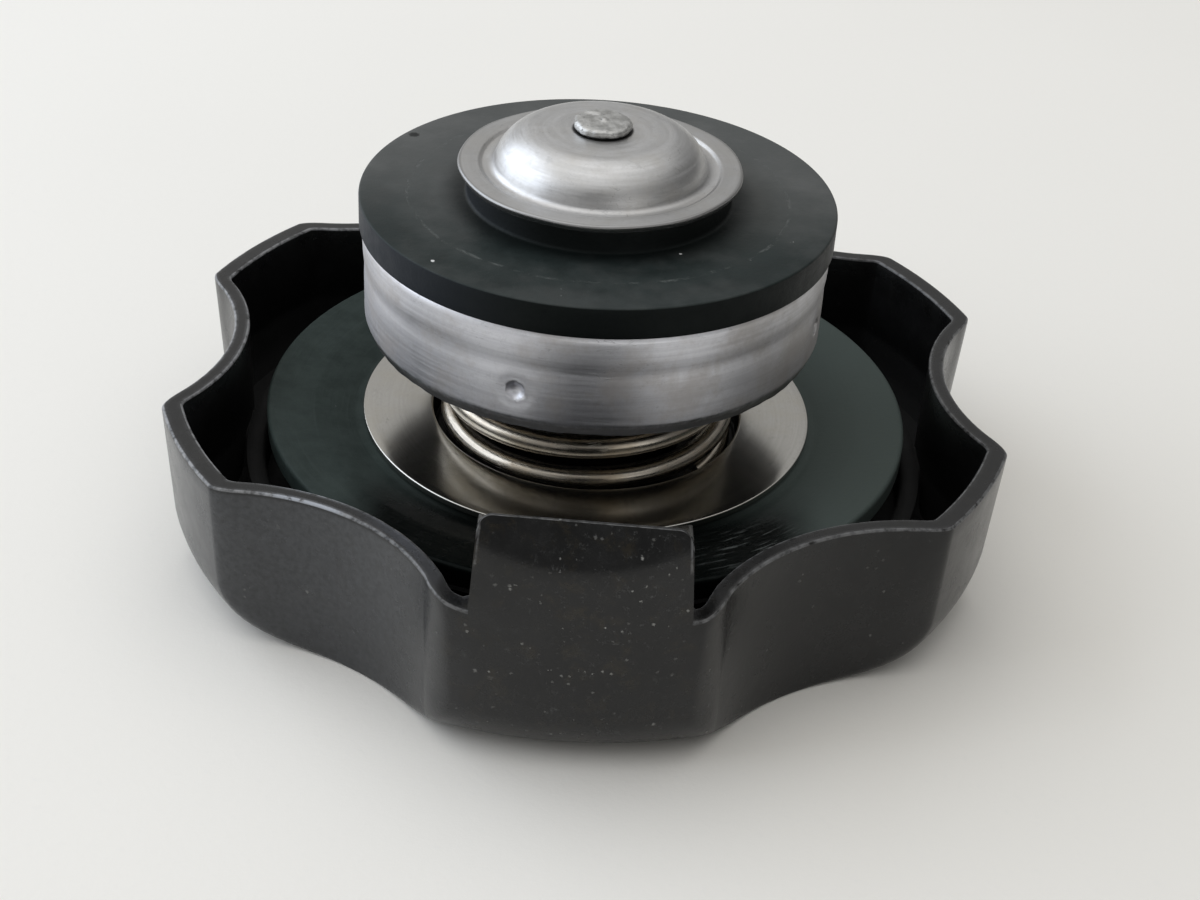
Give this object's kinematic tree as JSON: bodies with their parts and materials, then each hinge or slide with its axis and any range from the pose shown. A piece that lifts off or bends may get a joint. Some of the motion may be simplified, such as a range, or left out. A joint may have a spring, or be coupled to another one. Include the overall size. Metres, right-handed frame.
{
  "type": "radiator cap",
  "caption": "Bayonet radiator cap with a lobed plastic handle, a rubber neck gasket, a sprung pressure valve in a metal cup and a small domed vacuum valve, lying valve side up.",
  "frame": {"origin": "centre of the handle's outer face, on the surface that the cap lies on", "axes": "+Z along the valve axis from the handle to the vacuum valve; the bayonet tabs stand on the Y axis, the one seen in the picture at -Y"},
  "size_m": [0.0568, 0.06, 0.0307],
  "materials": {
    "black_plastic": "satin moulded plastic with dust and worn edges",
    "neck_rubber": "matte rubber, glossy in its folds",
    "valve_rubber": "matte rubber with a seat mark",
    "plate_steel": "smooth satin steel",
    "spring_steel": "drawn wire, slightly warm",
    "cup_metal": "drawn, with fine rings",
    "vacuum_metal": "stamped, satin",
    "rivet_steel": "peened"
  },
  "bodies": {
    "handle_body": {"handle": "black_plastic", "centre_rivet": "rivet_steel", "rivet_washer": "rivet_steel"},
    "valve_support": {"diaphragm": "spring_steel", "neck_gasket": "neck_rubber", "spring_plate": "plate_steel", "guide_thimble": "plate_steel", "pressure_spring": "spring_steel"},
    "pressure_valve": {"valve_cup": "cup_metal", "inner_cup": "cup_metal", "pressure_gasket": "valve_rubber", "vacuum_spring": "spring_steel"},
    "vacuum_valve": {"vacuum_plate": "vacuum_metal", "vacuum_stem": "rivet_steel", "vacuum_retainer": "rivet_steel"}
  },
  "joints": [
    {"name": "valve_swivel", "type": "hinge", "parent": "handle_body", "child": "valve_support", "pos_m": [0, 0, 0.006], "axis": [0, 0, 1], "continuous": true},
    {"name": "pressure_slide", "type": "slide", "parent": "valve_support", "child": "pressure_valve", "axis": [0, 0, -1], "range_m": [0, 0.002], "stiffness_N_per_m": 3000, "springref_m": -0.004, "deforming": ["pressure_spring"]},
    {"name": "vacuum_slide", "type": "slide", "parent": "pressure_valve", "child": "vacuum_valve", "axis": [0, 0, 1], "range_m": [0, 0.0012], "stiffness_N_per_m": 250, "springref_m": -0.002, "deforming": ["vacuum_spring"]}
  ]
}
